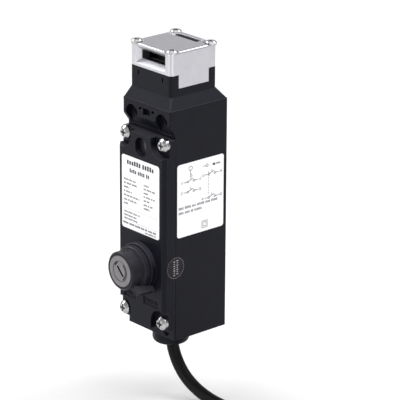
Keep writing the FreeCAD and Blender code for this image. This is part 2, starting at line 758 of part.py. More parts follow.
def make_contact_carrier():
    carrier = new_body("contact_carrier")
    base = drawing_on(carrier, "XY_Plane", out=66)
    rectangle(base, -4.6, -23.2, 4.6, -13.8)
    pad(carrier, base, 28)
    bore = drawing_on(carrier, "XY_Plane", out=95)
    circle(bore, 0, -cell.cam_depth, cell.rod_radius)
    pocket(carrier, bore, 40)
    slots = drawing_on(carrier, "XZ_Plane", out=24)
    for level in contact_levels:
        rectangle(slots, -5, level - 0.4, 5, level + 0.4)
    pocket(carrier, slots, 3)
    return carrier


def make_contact_bridges():
    bridges = []
    for number, level in enumerate(contact_levels):
        bridge = new_body("contact_bridge_%d" % (number + 1))
        strip = drawing_on(bridge, "XZ_Plane", out=21)
        rectangle(strip, -9.8, level - 0.4, 9.8, level + 0.4)
        pad(bridge, strip, 2)
        bridges.append(bridge)
    return gather("contact_bridges", bridges)


def make_fixed_contacts():
    strips = []
    for hand in both_hands:
        for number, level in enumerate(contact_levels):
            side = "left" if hand < 0 else "right"
            strip_body = new_body("fixed_contact_%s_%d" % (side, number + 1))
            strip = drawing_on(strip_body, "XZ_Plane", out=20.2)
            rectangle(strip, hand * 9.05 - 1.5, level - 1.2, hand * 9.05 + 1.5, level - 0.6)
            pad(strip_body, strip, 9.6)
            strips.append(strip_body)
    return gather("fixed_contacts", strips)


def make_circuit_board():
    board = new_body("circuit_board")
    plate = drawing_on(board, "XZ_Plane", out=30)
    rectangle(plate, -10.4, 66, 10.4, 101)
    pad(board, plate, 1.6)
    return board


def make_indicator_lamp():
    lamp = new_body("indicator_lamp")
    dome = drawing_on(lamp, "XZ_Plane", out=31.6)
    circle(dome, 0, cell.window_height, 2.4)
    pad(lamp, dome, 1.8)
    bevel_edges(lamp, 0.9, lambda edge: edge.BoundBox.YMax < -33.3)
    return lamp


# ---------------------------------------------------------------- solenoid and lock

def make_solenoid_yoke():
    yoke = new_body("solenoid_yoke")
    back, front = 3, 2 * cell.solenoid_depth - 3
    block = drawing_on(yoke, "YZ_Plane")
    rectangle(block, -front, cell.solenoid_foot, -back, cell.solenoid_top)
    pad(yoke, block, 2 * cell.solenoid_half, both_sides=True)
    opening = drawing_on(yoke, "YZ_Plane")
    rectangle(opening, 2 - front, cell.solenoid_foot + 2, -back - 2, cell.solenoid_top - 2)
    pocket(yoke, opening, 40, both_sides=True)
    pole = drawing_on(yoke, "XY_Plane", out=cell.solenoid_foot + 2)
    circle(pole, 0, -cell.solenoid_depth, cell.plunger_radius)
    pad(yoke, pole, 5)
    hole = drawing_on(yoke, "XY_Plane", out=cell.solenoid_top + 1)
    circle(hole, 0, -cell.solenoid_depth, cell.plunger_radius + 0.3)
    pocket(yoke, hole, 4)
    return yoke


def ring_profile(body, inner, outer, low, high, depth):
    """Turns a plain ring about an upright axis at the given depth."""
    section = drawing_on(body, "XZ_Plane", out=depth)
    rectangle(section, inner, low, outer, high)
    return turned(body, section)


def make_solenoid_bobbin():
    bobbin = new_body("solenoid_bobbin")
    foot, top = cell.solenoid_foot + 2, cell.solenoid_top - 2
    section = drawing_on(bobbin, "XZ_Plane", out=cell.solenoid_depth)
    bore, tube, flange = cell.plunger_radius + 0.1, cell.plunger_radius + 1, 9.8
    outline(section, [(bore, foot), (flange, foot), (flange, foot + 1.2), (tube, foot + 1.2),
                      (tube, top - 1.2), (flange, top - 1.2), (flange, top), (bore, top)])
    turned(bobbin, section)
    return bobbin


def make_solenoid_winding():
    winding = new_body("solenoid_winding")
    ring_profile(winding, cell.plunger_radius + 1, 9.3, cell.solenoid_foot + 3.2,
                 cell.solenoid_top - 3.2, cell.solenoid_depth)
    return winding


def make_solenoid_plunger():
    plunger = new_body("solenoid_plunger")
    bar = drawing_on(plunger, "XY_Plane", out=23)
    circle(bar, 0, -cell.solenoid_depth, cell.plunger_radius)
    pad(plunger, bar, 27)
    stud = drawing_on(plunger, "XY_Plane", out=50)
    circle(stud, 0, -cell.solenoid_depth, 1.6)
    pad(plunger, stud, 2)
    bevel_edges(plunger, 0.5, lambda edge: edge.BoundBox.ZMax < 23.1)
    return plunger


def make_lock_slider():
    """Steel slider: front plate with two windows and a shelf riveted to the plunger."""
    slider = new_body("lock_slider")
    plate = drawing_on(slider, "XZ_Plane", out=29.3)
    round_rectangle(plate, -5, 33.4, 5, 61.5, 1.2)
    pad(slider, plate, 1.3)
    shelf = drawing_on(slider, "XY_Plane", out=50)
    rectangle(shelf, -4, -29.5, 4, -11.5)
    pad(slider, shelf, 1.4)
    rivet_hole = drawing_on(slider, "XY_Plane", out=52)
    circle(rivet_hole, 0, -cell.solenoid_depth, 1.6)
    pocket(slider, rivet_hole, 4)
    windows = drawing_on(slider, "XZ_Plane", out=31)
    pin_level = cell.knob_height + cell.slider_travel / 2
    rectangle(windows, 0.3, pin_level - 1.3, 4, pin_level + 1.3)
    arm_level = cell.lever_height + cell.slider_travel / 2
    rectangle(windows, -1.5, arm_level - 1.75, 1.5, arm_level + 1.75)
    pocket(slider, windows, 2.5)
    return slider


def make_lock_bracket():
    """Bent bracket on the solenoid with two ears for the lever's pin."""
    bracket = new_body("lock_bracket")
    base = drawing_on(bracket, "XY_Plane", out=cell.solenoid_top)
    rectangle(base, -cell.solenoid_half, -28, cell.solenoid_half, -3)
    pad(bracket, base, 1.2)
    hole = drawing_on(bracket, "XY_Plane", out=cell.solenoid_top + 2)
    circle(hole, 0, -cell.solenoid_depth, cell.plunger_radius + 0.3)
    pocket(bracket, hole, 4)
    for hand in both_hands:
        ear = drawing_on(bracket, "YZ_Plane", out=hand * 4.6)
        outline(ear, [(-27.6, cell.solenoid_top), (-21.4, cell.solenoid_top), (-21.4, 58.3),
                      (-22.9, 59.8), (-26.1, 59.8), (-27.6, 58.3)])
        pad(bracket, ear, 1.2, backwards=(hand < 0))
    bore = drawing_on(bracket, "YZ_Plane")
    circle(bore, -cell.lever_depth, cell.lever_height, 1.25)
    pocket(bracket, bore, 20, both_sides=True)
    return bracket


def make_lever_pin():
    pin = new_body("lever_pin")
    rod = drawing_on(pin, "YZ_Plane")
    circle(rod, -cell.lever_depth, cell.lever_height, 1.25)
    pad(pin, rod, 12.4, both_sides=True)
    return pin


def bar_corners(start, end, half_width):
    """Corners of a straight bar between two points of a sketch."""
    run = math.hypot(end[0] - start[0], end[1] - start[1])
    side_x = -(end[1] - start[1]) / run * half_width
    side_y = (end[0] - start[0]) / run * half_width
    return [(start[0] - side_x, start[1] - side_y), (end[0] - side_x, end[1] - side_y),
            (end[0] + side_x, end[1] + side_y), (start[0] + side_x, start[1] + side_y)]


def make_lock_lever():
    """Bell crank: one arm in the slider's window, the other beside the operating rod."""
    lever = new_body("lock_lever")
    arms = (((0, 0), (-6.4, 1.95)), ((0, 0), (2.1, 5.6)))
    hub = drawing_on(lever, "YZ_Plane", right=-cell.lever_depth, up=cell.lever_height)
    circle(hub, 0, 0, 2.8)
    pad(lever, hub, 2.2, both_sides=True)
    for start, end in arms:
        arm = drawing_on(lever, "YZ_Plane", right=-cell.lever_depth, up=cell.lever_height)
        outline(arm, bar_corners(start, end, 1))
        pad(lever, arm, 2.2, both_sides=True)
    bore = drawing_on(lever, "YZ_Plane", right=-cell.lever_depth, up=cell.lever_height)
    circle(bore, 0, 0, 1.25 + cell.fit_gap)
    pocket(lever, bore, 20, both_sides=True)
    return lever


# ---------------------------------------------------------------- release knob

def make_release_knob():
    """Two-step round knob with a tapered pointer fin at its lower right."""
    knob = new_body("release_knob")
    back = cell.knob_base_depth + 0.25
    flange = drawing_on(knob, "XZ_Plane", out=back)
    circle(flange, 0, cell.knob_height, cell.knob_flange_radius)
    pad(knob, flange, cell.knob_flange_depth - back)
    nose = drawing_on(knob, "XZ_Plane", out=cell.knob_flange_depth)
    circle(nose, 0, cell.knob_height, cell.knob_radius)
    pad(knob, nose, cell.knob_depth - cell.knob_flange_depth)
    bevel_edges(knob, 0.6, lambda edge: edge.Curve.TypeId == "Part::GeomCircle"
                and -edge.BoundBox.YMin > cell.knob_flange_depth.value - 0.01
                and not (abs(edge.Curve.Radius - cell.knob_radius.value) < 0.01
                         and edge.BoundBox.YMax > -48))
    diagonal = math.sqrt(0.5)
    sections = []
    for out, inner, outer, half in ((cell.knob_base_depth - 2.1, 12.3, 15, 1.7),
                                    (cell.knob_depth - 2.3, 9.4, 14.2, 1.1)):
        section = drawing_on(knob, "XZ_Plane", out=out, up=cell.knob_height)
        bar = bar_corners((inner * diagonal, -inner * diagonal),
                          (outer * diagonal, -outer * diagonal), half)
        outline(section, bar)
        sections.append(section)
    fin = knob.newObject("PartDesign::AdditiveLoft", "Fin")
    fin.Profile = sections[1]
    fin.Sections = [sections[0]]
    fin.Ruled = True
    seat = drawing_on(knob, "XZ_Plane", out=cell.knob_depth)
    circle(seat, 0, cell.knob_height, cell.disc_radius)
    pocket(knob, seat, 1.2)
    barrel = drawing_on(knob, "XZ_Plane", out=cell.knob_depth)
    circle(barrel, 0, cell.knob_height, cell.plug_radius)
    pocket(knob, barrel, 8)
    hub = drawing_on(knob, "XZ_Plane", out=cell.knob_depth)
    circle(hub, 0, cell.knob_height, cell.knob_shaft)
    pocket(knob, hub, 30)
    return knob


def make_lock_face():
    """Satin metal ring round the lock plug."""
    face = new_body("lock_face")
    ring = drawing_on(face, "XZ_Plane", out=cell.knob_depth - 1.2)
    circle(ring, 0, cell.knob_height, cell.disc_radius)
    circle(ring, 0, cell.knob_height, cell.plug_radius)
    pad(face, ring, 1.3)
    return face


def sector_corners(inner, outer, start, end, steps):
    """Corners of a ring sector, both arcs stepped evenly."""
    corners = []
    for radius, first, last in ((outer, start, end), (inner, end, start)):
        for step in range(steps + 1):
            angle = math.radians(first + (last - first) * step / steps)
            corners.append((radius * math.cos(angle), radius * math.sin(angle)))
    return corners


def make_key_plug():
    """Lock plug with a slanted keyway and two curved reliefs."""
    plug = new_body("key_plug")
    core = drawing_on(plug, "XZ_Plane", out=cell.knob_depth - 8)
    circle(core, 0, cell.knob_height, cell.plug_radius)
    pad(plug, core, 8)
    diagonal = math.sqrt(0.5)
    keyway = drawing_on(plug, "XZ_Plane", out=cell.knob_depth, up=cell.knob_height)
    outline(keyway, bar_corners((-3.2 * diagonal, 3.2 * diagonal),
                                (3.2 * diagonal, -3.2 * diagonal), 0.6))
    pocket(plug, keyway, 6)
    for start, end in ((-62, 48), (112, 152)):
        relief = drawing_on(plug, "XZ_Plane", out=cell.knob_depth, up=cell.knob_height)
        outline(relief, sector_corners(4.1, 4.9, start, end, 8))
        pocket(plug, relief, 0.6)
    return plug


def make_knob_shaft():
    shaft = new_body("knob_shaft")
    rod = drawing_on(shaft, "XZ_Plane", out=32.4)
    circle(rod, 0, cell.knob_height, cell.knob_shaft)
    pad(shaft, rod, cell.knob_depth - 8 - 32.4)
    return shaft


def make_release_cam():
    """Disc with an eccentric pin that reaches into the slider's lower window."""
    cam = new_body("release_cam")
    disc = drawing_on(cam, "XZ_Plane", out=31.4)
    circle(disc, 0, cell.knob_height, 5.6)
    pad(cam, disc, 2.2)
    bore = drawing_on(cam, "XZ_Plane", out=34)
    circle(bore, 0, cell.knob_height, cell.knob_shaft)
    pocket(cam, bore, 1.6)
    offset = cell.cam_pin_throw * math.sqrt(0.5)
    pin = drawing_on(cam, "XZ_Plane", out=32)
    circle(pin, offset, cell.knob_height + offset, 1)
    pad(cam, pin, 3.4, backwards=True)
    return cam


def make_retaining_ring():
    ring = new_body("retaining_ring")
    disc = drawing_on(ring, "XZ_Plane", out=37.2)
    circle(disc, 0, cell.knob_height, cell.knob_shaft + 2)
    circle(disc, 0, cell.knob_height, cell.knob_shaft)
    pad(ring, disc, 0.8)
    return ring


# ---------------------------------------------------------------- gland and cable

def make_cable_gland():
    """Round gland under the foot with a rounded lower edge and a neck through the floor."""
    gland = new_body("cable_gland")
    section = drawing_on(gland, "XZ_Plane", out=cell.gland_depth)
    outer, drop = cell.gland_radius, cell.gland_drop
    outline(section, [(4.1, -drop), (outer - 2, -drop), (outer - 1.1, -drop + 0.25),
                      (outer - 0.4, -drop + 0.9), (outer, -drop + 2), (outer, 0), (6.5, 0),
                      (6.5, 11.6), (5, 11.6), (5, -2.4), (4.1, -3.6)])
    turned(gland, section)
    return gland


def make_cable_seal():
    seal = new_body("cable_seal")
    ring_profile(seal, cell.cable_radius, 4.95, -2, 6.4, cell.gland_depth)
    return seal


def make_gland_nut():
    """Hexagonal nut that clamps the gland from inside."""
    nut = new_body("gland_nut")
    hexagon = drawing_on(nut, "XY_Plane", out=9, up=-cell.gland_depth)
    corners = []
    for step in range(6):
        angle = math.radians(60 * step)
        corners.append((9.4 * math.cos(angle), 9.4 * math.sin(angle)))
    outline(hexagon, corners)
    pad(nut, hexagon, 3)
    bore = drawing_on(nut, "XY_Plane", out=12, up=-cell.gland_depth)
    circle(bore, 0, 0, 6.5)
    pocket(nut, bore, 4)
    return nut


def tube_along(label, route, radius):
    """A twelve-sided tube along straight runs joined by the largest arcs that fit them."""
    points = [Vector(*point) for point in route]
    edges = []
    start = points[0]
    for i in range(1, len(points) - 1):
        before = points[i] - points[i - 1]
        after = points[i + 1] - points[i]
        turn = before.getAngle(after)
        reach = 0.45 * min(before.Length, after.Length)
        print("%s: bend radius %.1f mm" % (label, reach / math.tan(turn / 2)))
        arc_start = points[i] - before.normalize() * reach
        arc_end = points[i] + after.normalize() * reach
        inward = (arc_start + arc_end) * 0.5 - points[i]
        bend = reach / math.tan(turn / 2)
        centre_gap = bend / math.cos(turn / 2)
        middle = points[i] + inward.normalize() * (centre_gap - bend)
        edges.append(Part.LineSegment(start, arc_start).toShape())
        edges.append(Part.Arc(arc_start, middle, arc_end).toShape())
        start = arc_end
    edges.append(Part.LineSegment(start, points[-1]).toShape())
    path = Part.Wire(edges)
    sides = 12
    ring = [Vector(radius * math.cos(2 * math.pi * i / sides),
                   radius * math.sin(2 * math.pi * i / sides), 0) for i in range(sides + 1)]
    section = Part.makePolygon(ring)
    facing = FreeCAD.Rotation(Vector(0, 0, 1), points[1] - points[0])
    section.Placement = FreeCAD.Placement(points[0], facing)
    tube = path.makePipeShell([section], True, False)
    expected = sides / 2 * radius ** 2 * math.sin(2 * math.pi / sides) * path.Length
    print("%s: length %.1f mm, volume %.4f of expected" % (label, path.Length,
                                                           tube.Volume / expected))
    feature = document.addObject("Part::Feature", label)
    feature.Label = label
    feature.Shape = tube
    feature.Placement = FreeCAD.Placement(Vector(0, 0, -centre_height.value),
                                          FreeCAD.Rotation())
    return feature


def make_cable():
    """Cable from the gland down to the surface and along it to the tied coil."""
    forward = -cell.gland_depth.value
    route = [(0, forward, 6.4), (0, forward, -7.5), (4.6, forward, -18.5),
             (13, forward, -26.2), (25.5, forward, -30.3), (41, -20.9, -31.2),
             (53, -19.4, -31), (64.5, -16.3, -30.7), (75.4, -11.6, -30.1)]
    return tube_along("cable", route, cell.cable_radius.value)


tail_level = (cell.coil_level + cell.coil_half + cell.cable_radius).value
tail_end = 0.0  # the angle round the coil at which the sheath ends


def on_coil(angle, level):
    """A point above the middle of the coil's turns."""
    return (cell.coil_across.value + cell.coil_radius.value * math.cos(angle),
            -cell.coil_forward.value + cell.coil_radius.value * math.sin(angle), level)


def make_cable_tail():
    """Last stretch of cable, laid along the top of the coil."""
    angles = (105, 85, 64, 43, 21, 0)
    route = [on_coil(math.radians(angle), tail_level) for angle in angles]
    return tube_along("cable_tail", route, cell.cable_radius.value)


def coil_section(drawing, across, grown):
    """Outline of four bundled turns: a square with its corners cut."""
    half = cell.coil_half + grown
    cut_rectangle(drawing, across - half, cell.coil_level - half, across + half,
                  cell.coil_level + half, 1.8)


def make_cable_coil():
    """Outer shape of the tied coil that lies on the surface."""
    coil = new_body("cable_coil")
    section = drawing_on(coil, "XZ_Plane", out=cell.coil_forward, right=cell.coil_across)
    coil_section(section, cell.coil_radius, 0)
    turned(coil, section)
    return coil


def make_cable_ties():
    """Two straps round the coil."""
    ties = []
    places = (("XZ_Plane", cell.coil_forward, cell.coil_across - cell.coil_radius),
              ("YZ_Plane", cell.coil_across, -cell.coil_forward - cell.coil_radius))
    for number, (plane, out, across) in enumerate(places):
        tie = new_body("cable_tie_%d" % (number + 1))
        loop = drawing_on(tie, plane, out=out)
        coil_section(loop, across, cell.tie_thick)
        coil_section(loop, across, 0)
        pad(tie, loop, 3.6, both_sides=True)
        ties.append(tie)
    return gather("cable_ties", ties)


def make_cable_cores():
    """Stripped cores fanned out of the end of the sheath."""
    cores = document.addObject("Part::Compound", "cable_cores")
    cores.Label = "cable_cores"
    links = []
    end = Vector(*on_coil(tail_end, tail_level - centre_height.value))
    ring = 1.7
    for number in range(6):
        core = document.addObject("Part::Prism", "cable_core_%d" % (number + 1))
        core.Polygon = 8
        core.Circumradius = 0.7
        core.Height = 26
        turn = math.radians(60 * number)
        across = ring * math.cos(turn)
        base = end + Vector(across * math.cos(tail_end), across * math.sin(tail_end),
                            ring * math.sin(turn))
        heading = tail_end + math.radians(5) * math.cos(turn)
        direction = Vector(math.sin(heading), -math.cos(heading), 0)
        core.Placement = FreeCAD.Placement(base, FreeCAD.Rotation(Vector(0, 0, 1), direction))
        links.append(core)
    cores.Links = links
    return cores


# ---------------------------------------------------------------- labels

def make_front_label():
    label = new_body("front_label")
    plate = drawing_on(label, "XZ_Plane", out=cell.cover_depth)
    round_rectangle(plate, -13.9, 53.2, 13.9, 90.6, 1.4)
    pad(label, plate, 0.12)
    return label


def make_side_label():
    label = new_body("side_label")
    plate = drawing_on(label, "YZ_Plane", out=half_case)
    round_rectangle(plate, -32.2, 53.2, -2.4, 90.4, 1.4)
    pad(label, plate, 0.12)
    return label


def make_joint_seal_disc():
    """Round tamper sticker across the joint of case and cover."""
    disc = new_body("tamper_seal")
    plate = drawing_on(disc, "YZ_Plane", out=half_case)
    circle(plate, -33.1, 38.3, 5.65)
    pad(disc, plate, 0.1)
    return disc


# ---------------------------------------------------------------- build and export

nodes = [
    make_main_case(), make_front_cover(), make_cover_seal(), make_cover_screws(),
    make_indicator_lens(), make_head_housing(), make_head_screws(), make_cam_carrier(),
    make_cam_axle(), make_actuating_cam(), make_operating_rod(),
    coil_spring("return_spring", cell.cam_depth, cell.spring_seat, cell.collar_height,
                3.5, 0.45, 6),
    make_contact_block(), make_contact_carrier(), make_contact_bridges(),
    make_fixed_contacts(), make_circuit_board(), make_indicator_lamp(),
    make_solenoid_yoke(), make_solenoid_bobbin(), make_solenoid_winding(),
    make_solenoid_plunger(),
    coil_spring("plunger_spring", cell.solenoid_depth, cell.solenoid_top + 1.2, 50, 4.1, 0.4, 3),
    make_lock_slider(), make_lock_bracket(), make_lever_pin(), make_lock_lever(),
    make_release_knob(), make_lock_face(), make_key_plug(), make_knob_shaft(),
    make_release_cam(), make_retaining_ring(), make_cable_gland(), make_cable_seal(),
    make_gland_nut(), make_cable(), make_cable_coil(), make_cable_tail(), make_cable_ties(),
    make_cable_cores(), make_front_label(), make_side_label(), make_joint_seal_disc(),
]
document.recompute()

for item in document.Objects:
    if "Invalid" in item.State or "Error" in item.State:
        raise RuntimeError("%s (%s) failed: %s" % (item.Label, item.Name, item.State))
os.makedirs("parts", exist_ok=True)
for node in nodes:
    shape = node.Shape
    if shape.isNull() or not shape.isValid() or not shape.Solids:
        raise RuntimeError("%s has no valid solid" % node.Label)
    shape.exportStep("parts/%s.step" % node.Label)
    print("%-18s %d solid(s), %.1f mm3" % (node.Label, len(shape.Solids), shape.Volume))
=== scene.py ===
import json
import math
import bpy
import numpy as np
from mathutils import Matrix


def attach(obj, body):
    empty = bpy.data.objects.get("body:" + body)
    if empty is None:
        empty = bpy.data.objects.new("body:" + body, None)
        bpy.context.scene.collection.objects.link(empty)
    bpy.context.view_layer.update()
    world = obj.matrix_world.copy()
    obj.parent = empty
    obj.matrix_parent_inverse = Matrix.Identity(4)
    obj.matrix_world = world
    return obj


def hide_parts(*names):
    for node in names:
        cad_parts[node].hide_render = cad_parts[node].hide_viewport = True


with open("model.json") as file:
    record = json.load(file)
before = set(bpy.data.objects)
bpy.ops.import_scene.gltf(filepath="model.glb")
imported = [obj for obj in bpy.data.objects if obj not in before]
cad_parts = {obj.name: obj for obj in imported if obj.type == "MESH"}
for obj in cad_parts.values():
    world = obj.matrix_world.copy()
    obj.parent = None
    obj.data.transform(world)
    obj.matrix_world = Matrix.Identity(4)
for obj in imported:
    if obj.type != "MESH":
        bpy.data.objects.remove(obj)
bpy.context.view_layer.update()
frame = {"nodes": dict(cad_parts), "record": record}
nodes = frame["nodes"]
mm = 0.001
centreHeight = 57.0  # from the foot of the case up to the frame's origin, in millimetres


def inFrame(points):
    # Millimetres with heights counted from the case's foot, turned to metres in the frame.
    spots = np.array(points, float) * mm
    spots[..., 2] -= centreHeight * mm
    return spots


def poseAt(axes, place):
    # A turned and moved frame: three unit axes as columns, then the place in metres.
    pose = Matrix.Identity(4)
    for column, axis in enumerate(axes):
        for row in range(3):
            pose[row][column] = axis[row]
    pose.translation = place
    return pose


# A long lens from the front right, a little above the head. Angles in degrees, lens and sensor
# in millimetres, eye and clip end in metres.
camera = {"eye": (0.8696, -0.7738, 0.4211), "turn": 48.41, "rise": 19.72, "roll": 0.388,
          "lens": 225.0, "sensor": 36, "clipEnd": 20}


def makeCamera(settings):
    turn, rise, roll = (math.radians(settings[part]) for part in ("turn", "rise", "roll"))
    level = np.array((math.cos(turn), math.sin(turn), 0.0))
    back = np.array((math.sin(turn) * math.cos(rise), -math.cos(turn) * math.cos(rise),
                     math.sin(rise)))
    upright = np.cross(back, level)
    right = level * math.cos(roll) + upright * math.sin(roll)
    up = upright * math.cos(roll) - level * math.sin(roll)
    lens = bpy.data.cameras.new("longLens")
    lens.lens = settings["lens"]
    lens.sensor_width = settings["sensor"]
    lens.clip_end = settings["clipEnd"]
    holder = bpy.data.objects.new("longLens", lens)
    holder.matrix_world = poseAt((right, up, back), settings["eye"])
    bpy.context.scene.collection.objects.link(holder)
    bpy.context.scene.camera = holder


makeCamera(camera)
print("camera set")


def hexColour(code):
    # An sRGB hex value as linear red, green, blue and alpha.
    parts = [int(code[i:i + 2], 16) / 255 for i in (1, 3, 5)]
    linear = [v / 12.92 if v <= 0.04045 else ((v + 0.055) / 1.055) ** 2.4 for v in parts]
    return (*linear, 1.0)


def addNode(tree, kind, settings=None, links=None):
    # Settings are the node's own properties or values of its sockets, links feed its sockets.
    # A colour Mix has its colours at sockets 6 and 7 and its result at output 2.
    node = tree.nodes.new(kind)
    for name, value in (settings or {}).items():
        if isinstance(name, str) and hasattr(node, name):
            setattr(node, name, value)
        else:
            node.inputs[name].default_value = value
    for name, source in (links or {}).items():
        tree.links.new(source, node.inputs[name])
    return node


def startMaterial(name, roughness, metallic=0.0, ior=1.5, extra=None):
    material = bpy.data.materials.new(name)
    material.use_nodes = True
    tree = material.node_tree
    tree.nodes.clear()
    shader = addNode(tree, "ShaderNodeBsdfPrincipled",
                     {"Roughness": roughness, "Metallic": metallic, "IOR": ior, **(extra or {})})
    addNode(tree, "ShaderNodeOutputMaterial", links={"Surface": shader.outputs[0]})
    return material, tree, shader


# How every finish is built up. The noise stays mostly between "noiseLow" and "noiseHigh". The
# painted edge highlight grows as the cosine between the rounded and the true face falls from its
# From bound to its To bound. The painted light on faces that look up grows from its From to its
# To share of the height of the face's unit normal, up to its Most share.
build = {"noiseLow": 0.3, "noiseHigh": 0.7, "driftDetail": 3.0, "driftRoughness": 0.55,
         "grainDetail": 2.0, "grainRoughness": 0.6, "bevelSamples": 6,
         "paintedEdgeHighlightFrom": 0.985, "paintedEdgeHighlightTo": 0.8, "paintedTopLightFrom": 0.15, "paintedTopLightTo": 0.75, "paintedTopLightMost": 0.75}


def surfaceFinish(recipe):
    # Two close shades drift over "mottle" millimetres, the roughness drifts by "unevenness",
    # and a grain "grain" millimetres across stands "relief" millimetres high. With "edge",
    # sharp edges look rounded by that many millimetres and get a painted highlight in the edge
    # highlight colour. Faces that look up get painted light in the painted top light colour.
    material, tree, shader = startMaterial(recipe["name"], recipe["roughness"],
                                           recipe.get("metallic", 0.0), recipe.get("ior", 1.5),
                                           recipe.get("extra"))
    place = addNode(tree, "ShaderNodeTexCoord")
    stretch = addNode(tree, "ShaderNodeMapping", {"Scale": recipe.get("stretch", (1, 1, 1))},
                      {"Vector": place.outputs["Object"]})
    drift = addNode(tree, "ShaderNodeTexNoise",
                    {"Scale": 1 / (recipe["mottle"] * mm), "Detail": build["driftDetail"],
                     "Roughness": build["driftRoughness"]}, {"Vector": stretch.outputs[0]})
    shades = addNode(tree, "ShaderNodeValToRGB", links={"Fac": drift.outputs["Fac"]})
    stops = shades.color_ramp.elements
    stops[0].position = build["noiseLow"]
    stops[0].color = hexColour(recipe["shade"])
    stops[1].position = build["noiseHigh"]
    stops[1].color = hexColour(recipe["colour"])
    colour = shades.outputs["Color"]
    grain = addNode(tree, "ShaderNodeTexNoise",
                    {"Scale": 1 / (recipe["grain"] * mm), "Detail": build["grainDetail"],
                     "Roughness": build["grainRoughness"]}, {"Vector": stretch.outputs[0]})
    spread = recipe.get("unevenness", 0.05)
    sheen = addNode(tree, "ShaderNodeMapRange",
                    {"From Min": build["noiseLow"], "From Max": build["noiseHigh"],
                     "To Min": recipe["roughness"] - spread,
                     "To Max": recipe["roughness"] + spread}, {"Value": drift.outputs["Fac"]})
    tree.links.new(sheen.outputs[0], shader.inputs["Roughness"])
    bump = addNode(tree, "ShaderNodeBump",
                   {"Strength": recipe.get("strength", 0.5), "Distance": recipe["relief"] * mm},
                   {"Height": grain.outputs["Fac"]})
    # Painted highlight: a lighter colour is mixed in where the rounded edge turns away from the
    # true face.
    if "edge" in recipe:
        rounded = addNode(tree, "ShaderNodeBevel",
                          {"samples": build["bevelSamples"], "Radius": recipe["edge"] * mm})
        facing = addNode(tree, "ShaderNodeNewGeometry")
        alike = addNode(tree, "ShaderNodeVectorMath", {"operation": "DOT_PRODUCT"},
                        {0: rounded.outputs[0], 1: facing.outputs["True Normal"]})
        paintedEdgeHighlight = addNode(tree, "ShaderNodeMapRange",
                       {"From Min": build["paintedEdgeHighlightFrom"], "From Max": build["paintedEdgeHighlightTo"],
                        "To Min": 0.0, "To Max": 1.0}, {"Value": alike.outputs["Value"]})
        edgeHighlighted = addNode(tree, "ShaderNodeMix",
                       {"data_type": "RGBA", 7: hexColour(recipe["edgeHighlightColour"])},
                       {0: paintedEdgeHighlight.outputs[0], 6: colour})
        colour = edgeHighlighted.outputs[2]
        tree.links.new(rounded.outputs[0], bump.inputs["Normal"])
    # Painted light: a lighter colour is mixed in on faces that look up, more the more they face
    # up.
    if "paintedTopLight" in recipe:
        height = addNode(tree, "ShaderNodeSeparateXYZ", links={0: place.outputs["Normal"]})
        topLightShare = addNode(tree, "ShaderNodeMapRange",
                          {"From Min": build["paintedTopLightFrom"], "From Max": build["paintedTopLightTo"],
                           "To Min": 0.0, "To Max": build["paintedTopLightMost"]},
                          {"Value": height.outputs["Z"]})
        paintedTopLit = addNode(tree, "ShaderNodeMix",
                        {"data_type": "RGBA", 7: hexColour(recipe["paintedTopLight"])},
                        {0: topLightShare.outputs[0], 6: colour})
        colour = paintedTopLit.outputs[2]
    tree.links.new(colour, shader.inputs["Base Color"])
    tree.links.new(bump.outputs[0], shader.inputs["Normal"])
    return material


# Glass-filled polyester, moulded in a spark-eroded tool: near black, with a fine even grain
# that scatters the highlights. The real grit is near 0.1 mm and is drawn at 0.35 to show.
# Its lighter edge colour is a painted highlight along the edges, and its lighter top colour is
# painted light on faces that look up.
casePlastic = {"name": "mouldedPolyester", "colour": "#12131b", "shade": "#0e0f17",
               "paintedTopLight": "#44444c", "roughness": 0.42, "mottle": 14.0, "grain": 0.35, "relief": 0.03,
               "strength": 0.35, "unevenness": 0.05, "edge": 0.22, "edgeHighlightColour": "#47464d",
               "extra": {"Specular IOR Level": 0.12}}
# Nylon 66 from a smoother tool: a touch lighter and glossier than the case, with painted
# highlights on its rims and painted light on faces that look up.
knobNylon = {"name": "mouldedNylon", "colour": "#1d1c23", "shade": "#18171d", "paintedTopLight": "#3c3b41",
             "roughness": 0.36, "mottle": 8.0, "grain": 0.3, "relief": 0.02, "strength": 0.25,
             "edge": 0.28, "edgeHighlightColour": "#67666c", "extra": {"Specular IOR Level": 0.14}}
# Zinc die casting, tumbled and satin nickel plated: bright, broad soft reflections, with a lighter
# painted highlight along the edges.
castNickel = {"name": "satinNickelCasting", "colour": "#c9c9cd", "shade": "#c0c0c5",
              "roughness": 0.36, "metallic": 1.0, "mottle": 6.0, "grain": 0.22,
              "relief": 0.012, "strength": 0.3, "unevenness": 0.04, "edge": 0.25,
              "edgeHighlightColour": "#dcdce0"}
# Steel screws, zinc plated and clear passivated: bright silver, blotched by the cold forming, with
# a lighter painted highlight along the edges.
zincPlate = {"name": "zincPlatedSteel", "colour": "#c4c4c5", "shade": "#a3a3a4",
             "roughness": 0.26, "metallic": 1.0, "mottle": 0.9, "grain": 0.25, "relief": 0.01,
             "strength": 0.3, "unevenness": 0.07, "edge": 0.12, "edgeHighlightColour": "#dcdcdc"}
# Turned steel, satin plated: an even mid grey face. Its circular lay is too fine to see.
turnedSteel = {"name": "turnedSatinSteel", "colour": "#858284", "shade": "#797678",
               "roughness": 0.38, "metallic": 1.0, "mottle": 3.0, "grain": 0.2,
               "relief": 0.01, "strength": 0.3}
# Ground rod, pins, shaft and plunger: bright, with fine marks drawn out in height.
groundSteel = {"name": "groundSteel", "colour": "#c4c5c8", "shade": "#b7b8bc",
               "roughness": 0.26, "metallic": 1.0, "mottle": 2.0, "grain": 0.15,
               "relief": 0.006, "strength": 0.3, "stretch": (1, 1, 0.12)}
